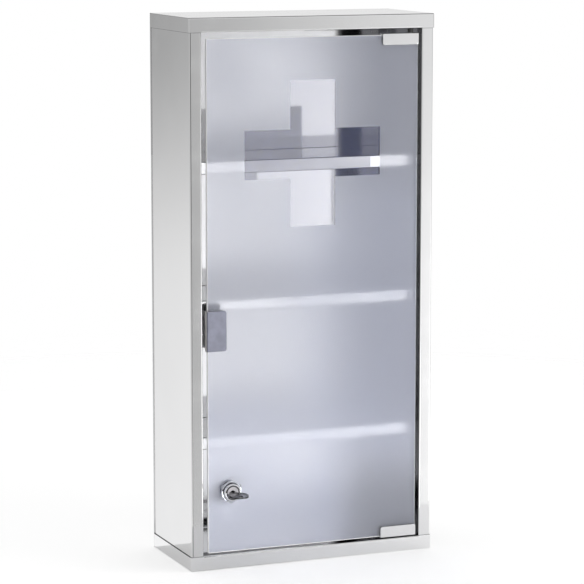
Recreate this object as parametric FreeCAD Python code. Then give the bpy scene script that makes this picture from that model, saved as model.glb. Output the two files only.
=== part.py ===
import FreeCAD, Part
import math
import os

# Wall-hung medicine cabinet: a folded steel case with three shelves and a satin glass door.
# Lengths are millimetres. The origin is the centre of the wall face, +X is to the right of
# someone in front of the cabinet, -Y points at that person and +Z is up.

Vector = FreeCAD.Vector

# Case
cabinet_width = 290.0
cabinet_depth = 125.0
cabinet_height = 608.0
sheet = 0.8
bend_radius = 0.7
seam = 0.1
cap_flange = 16.0
stile_width = 15.0
rail_return = 19.0
back_flange = 12.0
wall_hole_radius = 2.5
wall_hole_from_side = 45.0
wall_hole_from_end = 54.0
overrun = 2.0

# Shelves
shelf_count = 3
shelf_pitch = 152.5
middle_shelf_top = -5.5
shelf_setback = 19.0
shelf_lip = 14.0
shelf_hem = 4.0
shelf_flange = 10.0

# Door glass
glass_thickness = 4.0
glass_setback = 2.0
free_side_gap = 6.0
hinge_side_gap = 4.0
top_gap = 7.0
bottom_gap = 3.0
glass_arris = 0.4
cross_square = 53.6
cross_below_glass_top = 127.5
cross_relief = 0.1

# Hinges
clip_width = 43.0
clip_cover = 11.0
clip_front = 1.0
clip_back = 2.0
clip_corner = 2.0
clip_edge_round = 0.8
liner = 0.5
pivot_from_glass_edge = 7.0
pivot_setback = 7.0
pin_radius = 1.75
pin_clearance = 0.05
pin_end = 1.0
bush_shank_radius = 2.7
bush_head_radius = 3.2
bush_fit = 0.05
bush_shank_length = 3.0
upper_bush_gap = 0.3
lower_bush_gap = 0.1
grub_radius = 2.0
grub_fit = 0.05
grub_length = 3.4
grub_spacing = 24.0
grub_socket_flats = 2.0
grub_socket_depth = 1.6

# Push plate on the free edge
plate_height = 44.5
plate_cover = 21.5
plate_below_catch = 4.25
plate_sheet = 1.0
plate_fold = 0.8
plate_corner = 2.5
plate_back_cover = 19.0

# Push catch
catch_from_glass_edge = 10.0
catch_screw_below_shelf = 9.0
catch_ear_width = 18.0
catch_ear_end = 5.5
catch_ear_thickness = 3.0
catch_ear_corner = 3.0
catch_body_width = 16.0
catch_body_height = 20.0
catch_body_length = 50.0
catch_wall = 3.0
catch_nose_length = 9.0
catch_screw_offset = 18.5
catch_screw_radius = 1.5
catch_screw_fit = 0.05
catch_screw_head_radius = 2.8
catch_screw_head = 1.8
catch_screw_length = 7.0
catch_bracket_height = 16.0
catch_bracket_gap = 0.5
catch_bracket_flange = 20.0
plunger_radius = 4.5
plunger_fit = 0.1
plunger_collar_radius = 5.8
plunger_collar = 2.8
plunger_travel = 7.0
plunger_stop_gap = 0.2
magnet_radius = 4.0
magnet_thickness = 2.0
magnet_gap = 0.3
spring_radius = 4.4
spring_wire = 0.7

# Lock
lock_from_glass_edge = 26.0
lock_above_glass_bottom = 68.0
lock_washer = 0.5
lock_washer_radius = 11.2
collar_across_flats = 23.4
collar_thickness = 3.5
collar_chamfer = 1.2
barrel_radius = 8.0
barrel_head_radius = 9.75
barrel_head = 4.5
barrel_head_round = 1.5
barrel_fit = 0.1
barrel_tail = 0.7
plug_tail_gap = 1.5
glass_hole_clearance = 0.5
rear_nut_across_flats = 22.0
rear_nut_thickness = 4.5
plug_radius = 6.5
plug_fit = 0.05
plug_recess = 0.5
plug_dish_radius = 5.4
plug_dish_depth = 0.6
plug_tail = 7.0
cam_thickness = 1.6
cam_gap = 0.3
cam_length = 40.0
cam_width = 14.0
cam_hub_radius = 9.0
cam_fit = 0.1
cam_screw_radius = 1.9
cam_screw_fit = 0.05
cam_screw_head_radius = 4.0
cam_screw_head = 2.2
cam_screw_length = 4.6
wafer_count = 4
wafer_pitch = 3.0
wafer_first = 3.4
wafer_thickness = 0.8
wafer_fit = 0.1
wafer_length = 10.8
wafer_width = 6.0
wafer_window_fit = 0.3

# Key
key_thickness = 2.0
key_fit = 0.1
blade_width = 7.6
blade_length = 15.6
key_neck_width = 9.0
key_neck_length = 4.5
bow_width = 21.0
bow_length = 25.0
bow_corner = 5.0
bow_hole_radius = 2.6
bow_hole_from_end = 5.6
notch_depth = 0.8
notch_length = 1.6

# The bow's right half, as shares of its half width and of its length from the neck
bow_outline_shares = [(0.43, 0.0), (1.0, 0.22), (1.0, 0.66), (0.42, 1.0)]

# Places that follow from the sizes
front = -cabinet_depth
half_width = cabinet_width / 2
half_height = cabinet_height / 2
back_inside = -(sheet + seam)
side_outside = half_width - sheet - seam
side_inside = side_outside - sheet
stile_front = front + sheet + seam
opening_half_width = half_width - stile_width
opening_half_height = half_height - cap_flange
outer_bend = bend_radius + sheet
side_end = half_height - outer_bend

glass_left = -opening_half_width + free_side_gap
glass_right = opening_half_width - hinge_side_gap
glass_top = opening_half_height - top_gap
glass_bottom = -opening_half_height + bottom_gap
glass_front = front + glass_setback
glass_back = glass_front + glass_thickness
glass_centre_x = (glass_left + glass_right) / 2
cross_height = glass_top - cross_below_glass_top

pivot_x = glass_right - pivot_from_glass_edge
pivot_y = front + pivot_setback
clip_left = glass_right - clip_width
clip_top = glass_top + liner + clip_front

shelf_front = front + shelf_setback
shelf_back = back_inside - outer_bend
shelf_half_width = side_inside - seam
shelf_tops = [middle_shelf_top + (i - (shelf_count - 1) / 2) * shelf_pitch for i in range(shelf_count)]

plate_left = glass_left - liner - plate_sheet
plate_front = glass_front - liner - plate_sheet
plate_back = glass_back + liner + plate_sheet

catch_x = glass_left + catch_from_glass_edge
catch_height = middle_shelf_top - catch_screw_below_shelf - catch_screw_offset
catch_ear_height = 2 * (catch_screw_offset + catch_ear_end)
catch_bracket_top = catch_height - catch_body_height / 2 - catch_bracket_gap
plate_centre_height = catch_height - plate_below_catch
ear_back = shelf_front - seam
ear_front = ear_back - catch_ear_thickness
catch_body_end = ear_back + catch_body_length
catch_nose_end = ear_front + catch_nose_length
catch_chamber_end = catch_body_end - catch_wall
catch_screw_heights = [catch_height + catch_screw_offset, catch_height - catch_screw_offset]
magnet_front = plate_back + magnet_gap
magnet_back = magnet_front + magnet_thickness
plunger_collar_front = catch_nose_end + plunger_stop_gap + plunger_travel
plunger_back = plunger_collar_front + plunger_collar

lock_x = glass_left + lock_from_glass_edge
lock_height = glass_bottom + lock_above_glass_bottom
collar_back = glass_front - lock_washer
collar_front = collar_back - collar_thickness
head_front = collar_front - barrel_head
plug_front = head_front + plug_recess
rear_nut_front = glass_back + lock_washer
rear_nut_back = rear_nut_front + rear_nut_thickness
barrel_back = rear_nut_back + barrel_tail
cam_front = barrel_back + plug_tail_gap
stile_return_end = cam_front - cam_gap
cam_back = cam_front + cam_thickness
blade_end = plug_front + blade_length
neck_front = plug_front - key_fit - key_neck_length
bow_front = neck_front - bow_length
wafer_places = [plug_front + wafer_first + i * wafer_pitch for i in range(wafer_count)]


def box(x_span, y_span, z_span):
    """A box between two values along each axis."""
    low = Vector(min(x_span), min(y_span), min(z_span))
    high = Vector(max(x_span), max(y_span), max(z_span))
    size = high - low
    return Part.makeBox(size.x, size.y, size.z, low)


def around(centre, width):
    """The two ends of a span of this width about its centre."""
    return (centre - width / 2, centre + width / 2)


def rod_y(radius, x, z, y_span):
    """A round bar along Y."""
    low, high = min(y_span), max(y_span)
    return Part.makeCylinder(radius, high - low, Vector(x, low, z), Vector(0, 1, 0))


def rod_z(radius, x, y, z_span):
    """A round bar along Z."""
    low, high = min(z_span), max(z_span)
    return Part.makeCylinder(radius, high - low, Vector(x, y, low), Vector(0, 0, 1))


def hexagon_y(across_flats, x, z, y_span):
    """A hexagonal bar along Y with one corner at the top and one at the bottom."""
    corner = across_flats / math.sqrt(3)
    low, high = min(y_span), max(y_span)
    turns = [math.radians(90 + 60 * i) for i in range(7)]
    points = [Vector(x + corner * math.cos(turn), low, z + corner * math.sin(turn)) for turn in turns]
    return Part.Face(Part.makePolygon(points)).extrude(Vector(0, high - low, 0))


def near(value, target):
    """True where two places are the same to within half the sheet."""
    return abs(value - target) < sheet / 2


def runs_along(bounds, axis):
    """True for an edge's box that is long along one axis only."""
    lengths = {"x": bounds.XLength, "y": bounds.YLength, "z": bounds.ZLength}
    others = [length for name, length in lengths.items() if name != axis]
    return lengths[axis] > sheet / 2 and max(others) < sheet / 2


def rounded(shape, radius, wanted):
    """Round the edges whose bounding box passes the test."""
    return shape.makeFillet(radius, [edge for edge in shape.Edges if wanted(edge.BoundBox)])


def mirrored(shape, normal):
    """The shape mirrored about a plane through the origin."""
    return shape.mirror(Vector(0, 0, 0), normal)


def at_lower_edge(shape):
    """A piece of the glass's top edge, mirrored to its bottom edge."""
    return mirrored(shape, Vector(0, 0, 1)).translated(Vector(0, 0, glass_top + glass_bottom))


def moved(point, direction, distance):
    """A (u, v) point moved along a unit direction."""
    return (point[0] + direction[0] * distance, point[1] + direction[1] * distance)


def fold_line(path, along, left, offset, outside_radius, radius):
    """One face of a folded sheet, as (start, middle or None, end) for each run and bend."""
    pieces = []
    start = moved(path[0], left[0], offset)
    for i in range(len(along) - 1):
        turn = math.acos(along[i][0] * along[i + 1][0] + along[i][1] * along[i + 1][1])
        back = outside_radius * math.tan(turn / 2)
        last = moved(path[i + 1], along[i], -back)
        centre = moved(last, left[i], outside_radius)
        bisector = (-(left[i][0] + left[i + 1][0]), -(left[i][1] + left[i + 1][1]))
        size = math.hypot(*bisector)
        middle = moved(centre, (bisector[0] / size, bisector[1] / size), radius)
        leave = moved(last, left[i], offset)
        meet = moved(moved(path[i + 1], along[i + 1], back), left[i + 1], offset)
        pieces += [(start, None, leave), (leave, middle, meet)]
        start = meet
    return pieces + [(start, None, moved(path[-1], left[-1], offset))]


def folded_sheet(path, thickness, inside_radius, place, run):
    """Sheet folded along a path and extruded.

    The path is the sheet's outer face, as (u, v) points. The sheet lies to the left of it and every
    fold turns left. place puts (u, v) in space and run is the extrusion.
    """
    steps = [(b[0] - a[0], b[1] - a[1]) for a, b in zip(path, path[1:])]
    along = [(u / math.hypot(u, v), v / math.hypot(u, v)) for u, v in steps]
    left = [(-v, u) for u, v in along]
    outside_radius = inside_radius + thickness
    outside = fold_line(path, along, left, 0, outside_radius, outside_radius)
    inside = fold_line(path, along, left, thickness, outside_radius, inside_radius)
    ends = [(outside[-1][2], None, inside[-1][2]), (inside[0][0], None, outside[0][0])]
    edges = []
    for start, middle, end in outside + inside + ends:
        if middle is None:
            edges.append(Part.LineSegment(place(*start), place(*end)).toShape())
        else:
            edges.append(Part.Arc(place(*start), place(*middle), place(*end)).toShape())
    return Part.Face(Part.Wire(Part.__sortEdges__(edges))).extrude(run)


def side_panel():
    """Right side panel: return, stile, wall and back flange in one sheet."""
    path = [
        (opening_half_width, stile_return_end),
        (opening_half_width, stile_front),
        (side_outside, stile_front),
        (side_outside, back_inside),
        (side_outside - back_flange, back_inside),
    ]
    return folded_sheet(
        path, sheet, bend_radius, lambda u, v: Vector(u, v, -side_end), Vector(0, 0, 2 * side_end)
    )


def rounded_tray_block(half_x, y_front, z_top, radius):
    """A block whose top edges and upright front edges are round, open to the back and below."""
    block = box((-half_x, half_x), (y_front, back_inside), (opening_half_height, z_top))
    return rounded(
        block,
        radius,
        lambda b: (runs_along(b, "x") and near(b.YMin, y_front) and near(b.ZMin, z_top))
        or (runs_along(b, "y") and near(b.ZMin, z_top))
        or (runs_along(b, "z") and near(b.YMin, y_front)),
    )


def cap_rail():
    """The top cap's front flange where it turns in behind the opening to carry a pivot bush."""
    half_length = opening_half_width - seam
    path = [
        (front, opening_half_height + 2 * outer_bend),
        (front, opening_half_height),
        (front + rail_return, opening_half_height),
    ]
    rail = folded_sheet(
        path, sheet, bend_radius, lambda u, v: Vector(-half_length, u, v), Vector(2 * half_length, 0, 0)
    )
    span = (opening_half_height - overrun, half_height)
    return rail.cut(rod_z(bush_shank_radius + bush_fit, pivot_x, pivot_y, span))


def cap():
    """Top cap: a tray that goes over the side panels' ends."""
    tray = rounded_tray_block(half_width, front, half_height, outer_bend)
    tray = tray.cut(rounded_tray_block(half_width - sheet, front + sheet, half_height - sheet, bend_radius))
    rail_room = box(
        (-(opening_half_width - seam), opening_half_width - seam),
        (front - overrun, front + rail_return),
        (opening_half_height - overrun, opening_half_height + 2 * outer_bend),
    )
    flange_half = side_outside - back_flange - seam
    flange = box(
        (-flange_half, flange_half), (back_inside - sheet, back_inside),
        (opening_half_height, half_height - sheet / 2),
    )
    return tray.cut(rail_room).fuse(cap_rail()).fuse(flange).removeSplitter()


def back_panel():
    """Flat sheet over the whole back, with four holes for wall screws."""
    panel = box((-half_width, half_width), (-sheet, 0), (-half_height, half_height))
    for x in around(0, cabinet_width - 2 * wall_hole_from_side):
        for z in around(0, cabinet_height - 2 * wall_hole_from_end):
            panel = panel.cut(rod_y(wall_hole_radius, x, z, (-overrun, overrun)))
    return panel


def shelf(top):
    """Shelf with a hemmed lip in front and flanges along its sides and back."""
    path = [
        (shelf_back, top - shelf_flange),
        (shelf_back, top),
        (shelf_front, top),
        (shelf_front, top - shelf_lip),
        (shelf_front + shelf_hem, top - shelf_lip),
    ]
    run = Vector(2 * shelf_half_width, 0, 0)
    plate = folded_sheet(path, sheet, bend_radius, lambda u, v: Vector(-shelf_half_width, u, v), run)
    for side in (-1, 1):
        flange = box(
            (side * shelf_half_width, side * (shelf_half_width - sheet)),
            (shelf_front + outer_bend, shelf_back - outer_bend),
            (top - shelf_flange, top - sheet / 2),
        )
        plate = plate.fuse(flange)
    return plate.removeSplitter()


def middle_shelf():
    """The middle shelf, with a hole in its lip for the catch's upper screw."""
    hole = rod_y(
        catch_screw_radius + catch_screw_fit, catch_x, catch_screw_heights[0],
        (shelf_front - overrun, shelf_front + sheet + overrun),
    )
    return shelf(middle_shelf_top).cut(hole)


def clear_cross():
    """Five equal squares in a cross, a little proud of the etched back of the glass."""
    y_span = (glass_back - cross_relief, glass_back + cross_relief)
    upright = box(around(glass_centre_x, cross_square), y_span, around(cross_height, 3 * cross_square))
    beam = box(around(glass_centre_x, 3 * cross_square), y_span, around(cross_height, cross_square))
    return upright.fuse(beam).removeSplitter()


def glass_panel():
    """Door glass with ground edges, the lock's hole and the clear cross."""
    pane = box((glass_left, glass_right), (glass_front, glass_back), (glass_bottom, glass_top))
    pane = pane.makeChamfer(glass_arris, pane.Edges)
    span = (glass_front - overrun, glass_back + overrun)
    hole = rod_y(barrel_radius + glass_hole_clearance, lock_x, lock_height, span)
    return pane.cut(hole).fuse(clear_cross()).removeSplitter()


def hinge_clip():
    """Upper hinge clip: a cast channel over the glass's top edge, tapped for two grub screws."""
    y_front = glass_front - liner - clip_front
    y_back = glass_back + liner + clip_back
    bottom = glass_top - clip_cover
    clip = box((clip_left, glass_right), (y_front, y_back), (bottom, clip_top))
    clip = rounded(clip, clip_corner, lambda b: runs_along(b, "y") and near(b.ZMin, bottom))
    clip = rounded(
        clip,
        clip_edge_round,
        lambda b: runs_along(b, "x") and near(b.YMin, y_front) and near(b.ZMin, clip_top),
    )
    room = box(
        (clip_left - overrun, glass_right + overrun), (glass_front - liner, glass_back + liner),
        (bottom - overrun, glass_top + liner),
    )
    clip = clip.cut(room)
    for x, z in grub_places():
        clip = clip.cut(rod_y(grub_radius + grub_fit, x, z, (glass_back + liner, y_back + overrun)))
    return clip


def hinge_liner():
    """Plastic channel between the upper hinge clip and the glass."""
    bottom = glass_top - clip_cover
    y_span = (glass_front - liner, glass_back + liner)
    outer = box((clip_left, glass_right), y_span, (bottom, glass_top + liner))
    room = box(
        (clip_left - overrun, glass_right + overrun),
        (glass_front, glass_back),
        (bottom - overrun, glass_top),
    )
    return outer.cut(room)


def grub_places():
    """Places of the upper clip's grub screws, as (x, z)."""
    return [(x, glass_top - clip_cover / 2) for x in around(glass_right - clip_width / 2, grub_spacing)]


def grub_screws():
    """Four grub screws that press on the liners from behind."""
    start = glass_back + liner
    upper = []
    for x, z in grub_places():
        screw = rod_y(grub_radius, x, z, (start, start + grub_length))
        end = (start + grub_length - grub_socket_depth, start + grub_length + overrun)
        upper.append(screw.cut(hexagon_y(grub_socket_flats, x, z, end)))
    return Part.makeCompound(upper + [at_lower_edge(screw) for screw in upper])


def pivot_levels(side):
    """Heights of the clip's web, the rail's face and the bush's far end, above (1) or below (-1)."""
    web = clip_top if side > 0 else glass_bottom - liner - clip_front
    return web, side * opening_half_height, side * (opening_half_height + sheet + bush_shank_length)


def pivot_pin(side):
    """Pin that stands on a hinge clip's web."""
    web, rail, end = pivot_levels(side)
    return rod_z(pin_radius, pivot_x, pivot_y, (web, end + side * pin_end))


def pivot_bush(side, gap):
    """Bush in a cap's rail, with its head towards the hinge clip and a gap to it."""
    web, rail, end = pivot_levels(side)
    head = rod_z(bush_head_radius, pivot_x, pivot_y, (web + side * gap, rail))
    shank = rod_z(bush_shank_radius, pivot_x, pivot_y, (rail, end))
    bore = rod_z(pin_radius + pin_clearance, pivot_x, pivot_y, (web - side * overrun, end + side * overrun))
    return head.fuse(shank).removeSplitter().cut(bore)


def push_plate():
    """Steel plate folded over the glass's free edge, with two round corners in front."""
    path = [
        (glass_left + plate_back_cover, plate_back),
        (plate_left, plate_back),
        (plate_left, plate_front),
        (glass_left + plate_cover, plate_front),
    ]
    low = plate_centre_height - plate_height / 2
    plate = folded_sheet(
        path, plate_sheet, plate_fold, lambda u, v: Vector(u, v, low), Vector(0, 0, plate_height)
    )
    end = glass_left + plate_cover
    return rounded(plate, plate_corner, lambda b: runs_along(b, "y") and near(b.XMin, end))


def push_plate_liner():
    """Adhesive liner between the push plate and the glass."""
    outer = box(
        (glass_left - liner, glass_left + plate_back_cover - plate_corner),
        (glass_front - liner, glass_back + liner), around(plate_centre_height, plate_height),
    )
    room = box(
        (glass_left, glass_left + plate_cover), (glass_front, glass_back),
        around(plate_centre_height, plate_height + 2 * overrun),
    )
    return rounded(
        outer, plate_fold, lambda b: runs_along(b, "z") and near(b.XMin, glass_left - liner)
    ).cut(room)


def catch_bracket():
    """Angle on the left wall that carries the catch's lower ear."""
    path = [
        (-shelf_half_width, shelf_front + catch_bracket_flange),
        (-shelf_half_width, shelf_front),
        (catch_x + catch_ear_width / 2, shelf_front),
    ]
    run = Vector(0, 0, -catch_bracket_height)
    bracket = folded_sheet(path, sheet, bend_radius, lambda u, v: Vector(u, v, catch_bracket_top), run)
    hole = rod_y(
        catch_screw_radius + catch_screw_fit, catch_x, catch_screw_heights[1],
        (shelf_front - overrun, shelf_front + sheet + overrun),
    )
    return bracket.cut(hole)


def catch_housing():
    """Catch housing: an ear plate, a body behind it and a stepped bore for the plunger."""
    ear_z = around(catch_height, catch_ear_height)
    ears = box(around(catch_x, catch_ear_width), (ear_front, ear_back), ear_z)
    ears = rounded(ears, catch_ear_corner, lambda b: runs_along(b, "y"))
    body_z = around(catch_height, catch_body_height)
    body = box(around(catch_x, catch_body_width), (ear_back, catch_body_end), body_z)
    nose_span = (ear_front - overrun, catch_nose_end)
    nose_bore = rod_y(plunger_radius + plunger_fit, catch_x, catch_height, nose_span)
    chamber_span = (catch_nose_end, catch_chamber_end)
    chamber = rod_y(plunger_collar_radius + plunger_fit, catch_x, catch_height, chamber_span)
    housing = ears.fuse(body).removeSplitter().cut(nose_bore).cut(chamber)
    screw_span = (ear_front - overrun, ear_back + overrun)
    for z in catch_screw_heights:
        housing = housing.cut(rod_y(catch_screw_radius + catch_screw_fit, catch_x, z, screw_span))
    return housing


def catch_screws():
    """Two pan-head screws through the catch's ears."""
    screws = []
    for z in catch_screw_heights:
        head = rod_y(catch_screw_head_radius, catch_x, z, (ear_front - catch_screw_head, ear_front))
        head = rounded(
            head, catch_screw_head / 2, lambda b: near(b.YMax, ear_front - catch_screw_head)
        )
        shank = rod_y(catch_screw_radius, catch_x, z, (ear_front, ear_front + catch_screw_length))
        screws.append(head.fuse(shank).removeSplitter())
    return Part.makeCompound(screws)


def catch_plunger():
    """Plunger with the collar that stops it at the housing's step."""
    stem = rod_y(plunger_radius, catch_x, catch_height, (magnet_back, plunger_back))
    collar = rod_y(plunger_collar_radius, catch_x, catch_height, (plunger_collar_front, plunger_back))
    return stem.fuse(collar).removeSplitter()


def catch_magnet():
    """Round magnet on the plunger's tip."""
    return rod_y(magnet_radius, catch_x, catch_height, (magnet_front, magnet_back))


def catch_spring():
    """Sleeve in the place of the coil spring behind the plunger."""
    span = (plunger_back + seam, catch_chamber_end - seam)
    outside = rod_y(spring_radius + spring_wire / 2, catch_x, catch_height, span)
    return outside.cut(rod_y(spring_radius - spring_wire / 2, catch_x, catch_height, span))


def lock_collar():
    """Hexagonal collar in front of the glass, with a chamfered front."""
    collar = hexagon_y(collar_across_flats, lock_x, lock_height, (collar_front, collar_back))
    corner = collar_across_flats / math.sqrt(3)
    cone = Part.makeCone(
        corner - collar_chamfer, corner - collar_chamfer + 2 * collar_thickness, collar_thickness,
        Vector(lock_x, collar_front, lock_height), Vector(0, 1, 0),
    )
    span = (collar_front - overrun, collar_back + overrun)
    return collar.common(cone).cut(rod_y(barrel_radius + barrel_fit, lock_x, lock_height, span))


def lock_barrel():
    """Barrel with a round head in front of the collar and a bore for the plug."""
    head = rod_y(barrel_head_radius, lock_x, lock_height, (head_front, collar_front))
    head = rounded(head, barrel_head_round, lambda b: near(b.YMax, head_front))
    body = rod_y(barrel_radius, lock_x, lock_height, (collar_front, barrel_back))
    bore = rod_y(plug_radius + plug_fit, lock_x, lock_height, (head_front - overrun, barrel_back + overrun))
    return head.fuse(body).removeSplitter().cut(bore)


def lock_washer_at(y_start):
    """Washer between the glass and the lock."""
    span = (y_start, y_start + lock_washer)
    washer = rod_y(lock_washer_radius, lock_x, lock_height, span)
    return washer.cut(rod_y(barrel_radius + barrel_fit, lock_x, lock_height, span))


def rear_nut():
    """Nut that clamps the lock from behind the glass."""
    span = (rear_nut_front, rear_nut_back)
    nut = hexagon_y(rear_nut_across_flats, lock_x, lock_height, span)
    return nut.cut(rod_y(barrel_radius + barrel_fit, lock_x, lock_height, span))


def lock_plug():
    """Plug with a dished face, key slot, wafer slots and a square tail."""
    plug = rod_y(plug_radius, lock_x, lock_height, (plug_front, cam_front))
    tail = box(
        around(lock_x, plug_tail), (cam_front, cam_back - cam_fit), around(lock_height, plug_tail)
    )
    plug = plug.fuse(tail).removeSplitter()
    dish = Part.makeCone(
        plug_dish_radius, plug_dish_radius - plug_dish_depth, plug_dish_depth,
        Vector(lock_x, plug_front, lock_height), Vector(0, 1, 0),
    )
    plug = plug.cut(dish)
    key_slot = box(
        around(lock_x, blade_width + 2 * key_fit), (plug_front - overrun, blade_end + key_fit),
        around(lock_height, key_thickness + 2 * key_fit),
    )
    plug = plug.cut(key_slot)
    for y in wafer_places:
        slot = box(
            around(lock_x, 2 * plug_radius), around(y, wafer_thickness + 2 * wafer_fit),
            around(lock_height, wafer_width + 2 * wafer_fit),
        )
        plug = plug.cut(slot)
    thread_span = (cam_back - cam_screw_length - cam_fit, cam_back)
    return plug.cut(rod_y(cam_screw_radius + cam_screw_fit, lock_x, lock_height, thread_span))


def lock_wafers():
    """Wafers in the plug, each with a window round the key's blade."""
    wafers = []
    z_span = around(lock_height, wafer_width)
    for y in wafer_places:
        plate = box(around(lock_x, wafer_length), around(y, wafer_thickness), z_span)
        window = box(
            around(lock_x, blade_width + 2 * wafer_window_fit), around(y, 2 * wafer_thickness),
            around(lock_height, key_thickness + 2 * wafer_window_fit),
        )
        wafers.append(plate.cut(window))
    return Part.makeCompound(wafers)


def lock_cam():
    """Flat cam that hangs down when unlocked, with a round tip and a square hole."""
    span = (cam_front, cam_back)
    hub = rod_y(cam_hub_radius, lock_x, lock_height, span)
    tip_height = lock_height - cam_length + cam_width / 2
    arm = box(around(lock_x, cam_width), span, (lock_height, tip_height))
    tip = rod_y(cam_width / 2, lock_x, tip_height, span)
    hole = box(
        around(lock_x, plug_tail + 2 * cam_fit), (cam_front - overrun, cam_back + overrun),
        around(lock_height, plug_tail + 2 * cam_fit),
    )
    return hub.fuse(arm).fuse(tip).removeSplitter().cut(hole)


def cam_screw():
    """Screw that holds the cam on the plug's tail."""
    head = rod_y(cam_screw_head_radius, lock_x, lock_height, (cam_back, cam_back + cam_screw_head))
    head = rounded(head, cam_screw_head / 2, lambda b: near(b.YMin, cam_back + cam_screw_head))
    shank = rod_y(cam_screw_radius, lock_x, lock_height, (cam_back - cam_screw_length, cam_back))
    return head.fuse(shank).removeSplitter()


def key():
    """Flat key in the plug, its bow level and in front of the lock."""
    z_span = around(lock_height, key_thickness)
    blade = box(around(lock_x, blade_width), (plug_front - key_fit, blade_end), z_span)
    for i, y in enumerate(wafer_places):
        side = 1 if i % 2 else -1
        edge = lock_x + side * blade_width / 2
        notch = box(
            (edge - side * notch_depth, edge + side * overrun), around(y, notch_length),
            around(lock_height, 2 * key_thickness),
        )
        blade = blade.cut(notch)
    neck = box(around(lock_x, key_neck_width), (neck_front, plug_front - key_fit), z_span)
    right = [(share_x * bow_width / 2, share_y * bow_length) for share_x, share_y in bow_outline_shares]
    outline = right + [(-x, y) for x, y in reversed(right)]
    points = [Vector(lock_x + x, neck_front - y, z_span[0]) for x, y in outline]
    bow = Part.Face(Part.makePolygon(points + points[:1])).extrude(Vector(0, 0, key_thickness))
    bow = rounded(bow, bow_corner, lambda b: runs_along(b, "z") and b.YMin < neck_front - overrun)
    hole_y = bow_front + bow_hole_from_end
    bow = bow.cut(rod_z(bow_hole_radius, lock_x, hole_y, around(lock_height, 2 * key_thickness)))
    return blade.fuse(neck).fuse(bow).removeSplitter()


def pieces():
    """Every piece of the cabinet by its name."""
    right_side = side_panel()
    upper_clip = hinge_clip()
    upper_liner = hinge_liner()
    top_cap = cap()
    return {
        "right_side_panel": right_side,
        "left_side_panel": mirrored(right_side, Vector(1, 0, 0)),
        "back_panel": back_panel(),
        "top_cap": top_cap,
        "bottom_cap": mirrored(top_cap, Vector(0, 0, 1)),
        "lower_shelf": shelf(shelf_tops[0]),
        "middle_shelf": middle_shelf(),
        "upper_shelf": shelf(shelf_tops[-1]),
        "upper_pivot_bush": pivot_bush(1, upper_bush_gap),
        "lower_pivot_bush": pivot_bush(-1, lower_bush_gap),
        "catch_bracket": catch_bracket(),
        "catch_housing": catch_housing(),
        "catch_screws": catch_screws(),
        "catch_spring": catch_spring(),
        "catch_plunger": catch_plunger(),
        "catch_magnet": catch_magnet(),
        "glass_panel": glass_panel(),
        "upper_hinge_clip": upper_clip,
        "lower_hinge_clip": at_lower_edge(upper_clip),
        "upper_hinge_liner": upper_liner,
        "lower_hinge_liner": at_lower_edge(upper_liner),
        "hinge_grub_screws": grub_screws(),
        "upper_pivot_pin": pivot_pin(1),
        "lower_pivot_pin": pivot_pin(-1),
        "push_plate": push_plate(),
        "push_plate_liner": push_plate_liner(),
        "lock_collar": lock_collar(),
        "lock_barrel": lock_barrel(),
        "lock_front_washer": lock_washer_at(collar_back),
        "lock_rear_washer": lock_washer_at(glass_back),
        "lock_rear_nut": rear_nut(),
        "lock_plug": lock_plug(),
        "lock_wafers": lock_wafers(),
        "lock_cam": lock_cam(),
        "cam_screw": cam_screw(),
        "key": key(),
    }


os.makedirs("parts", exist_ok=True)
for name, shape in pieces().items():
    shape.exportStep(os.path.join("parts", name + ".step"))
    bounds = shape.BoundBox
    print(
        f"{name:20s} solids {len(shape.Solids)} valid {shape.isValid()} volume {shape.Volume:10.1f} "
        f"x {bounds.XMin:7.1f} {bounds.XMax:7.1f} y {bounds.YMin:7.1f} {bounds.YMax:7.1f} "
        f"z {bounds.ZMin:7.1f} {bounds.ZMax:7.1f}"
    )
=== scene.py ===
"""Wall-hung medicine cabinet, dressed and lit for its photograph.

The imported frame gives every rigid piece. This script gives each piece its finish, builds the small parts
that show only close up, and sets the studio: floor, lamps, surroundings and camera. Lengths are metres.
"""

import logging
import math
from dataclasses import dataclass
from enum import Enum
from typing import Dict, List, Optional, Sequence, Tuple, Union

import bmesh
import bpy
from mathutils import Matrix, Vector

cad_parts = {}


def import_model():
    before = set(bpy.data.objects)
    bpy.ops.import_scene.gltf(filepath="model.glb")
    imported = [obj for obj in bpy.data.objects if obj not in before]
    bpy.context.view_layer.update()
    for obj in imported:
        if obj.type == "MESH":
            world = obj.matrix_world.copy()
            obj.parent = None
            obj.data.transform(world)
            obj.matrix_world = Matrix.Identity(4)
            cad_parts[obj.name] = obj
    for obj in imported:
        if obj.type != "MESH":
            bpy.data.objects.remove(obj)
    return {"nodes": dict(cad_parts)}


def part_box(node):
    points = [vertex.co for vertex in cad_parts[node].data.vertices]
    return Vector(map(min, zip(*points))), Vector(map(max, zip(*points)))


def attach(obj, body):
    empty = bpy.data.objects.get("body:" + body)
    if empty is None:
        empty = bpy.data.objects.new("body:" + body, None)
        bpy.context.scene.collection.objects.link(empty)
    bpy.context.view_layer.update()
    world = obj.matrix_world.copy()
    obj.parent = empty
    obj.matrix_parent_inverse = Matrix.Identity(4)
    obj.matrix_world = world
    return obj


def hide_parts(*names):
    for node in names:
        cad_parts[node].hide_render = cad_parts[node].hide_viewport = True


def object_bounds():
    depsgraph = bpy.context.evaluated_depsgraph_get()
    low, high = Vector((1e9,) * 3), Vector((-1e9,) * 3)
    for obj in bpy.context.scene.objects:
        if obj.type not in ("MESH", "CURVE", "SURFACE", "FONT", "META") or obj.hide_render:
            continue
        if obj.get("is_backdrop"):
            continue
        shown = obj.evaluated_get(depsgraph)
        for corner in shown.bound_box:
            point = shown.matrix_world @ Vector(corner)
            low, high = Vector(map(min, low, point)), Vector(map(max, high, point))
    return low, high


MM = 0.001
SHARP_ANGLE = math.radians(32.0)
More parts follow.
